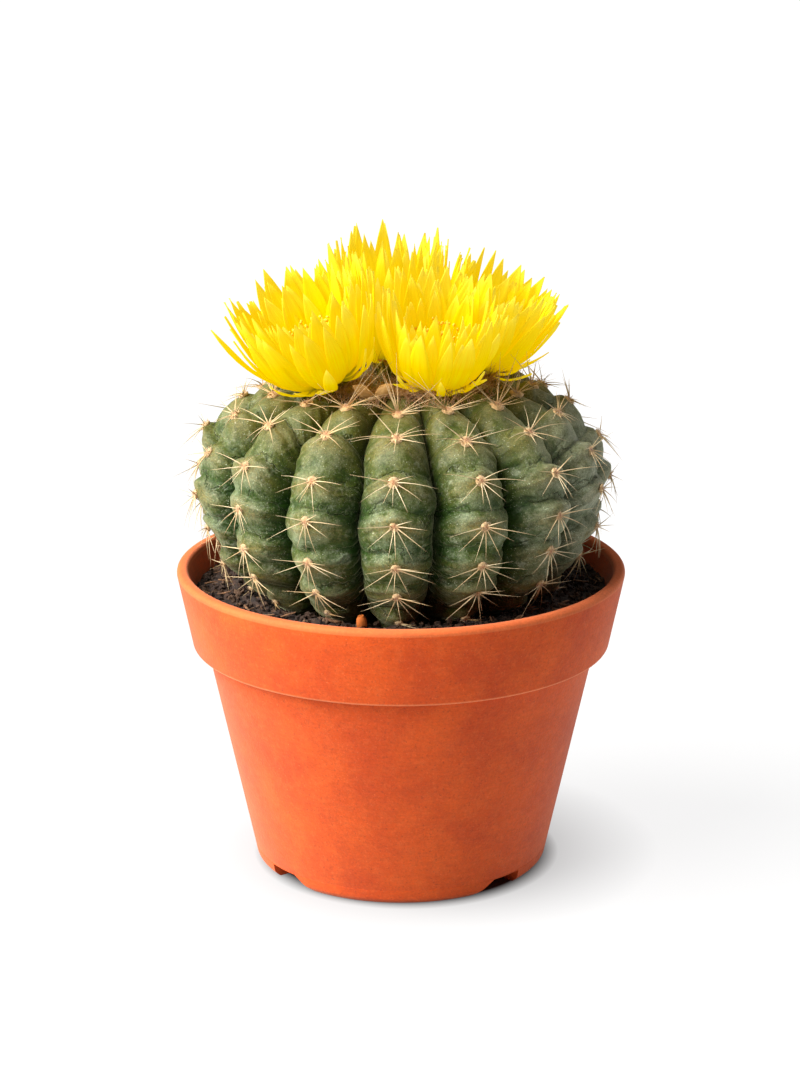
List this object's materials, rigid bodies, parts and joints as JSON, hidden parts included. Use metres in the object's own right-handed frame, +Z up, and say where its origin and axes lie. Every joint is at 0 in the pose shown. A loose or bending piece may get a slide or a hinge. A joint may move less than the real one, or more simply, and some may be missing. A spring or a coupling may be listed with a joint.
{
  "type": "potted round cactus",
  "caption": "Round ribbed cactus with spines and open yellow flowers on its crown, growing in soil in a tapered plastic nursery pot with a stepped collar.",
  "frame": {"origin": "middle of the pot's foot, on the surface it stands on", "axes": "+Z up, -Y towards the side that the picture shows, +X to that side's right"},
  "size_m": [0.065, 0.065, 0.092],
  "materials": {
    "pot": "satin",
    "soil": "matte",
    "stem": "matte",
    "petal": "satin",
    "wool": "matte"
  },
  "bodies": {
    "root": {"pot": "pot", "soil": "soil", "stem": "stem", "bloom_left": "petal", "bloom_front": "petal", "bloom_right": "petal", "bloom_back": "petal", "bud_left": "wool", "bud_right": "wool"}
  },
  "joints": []
}
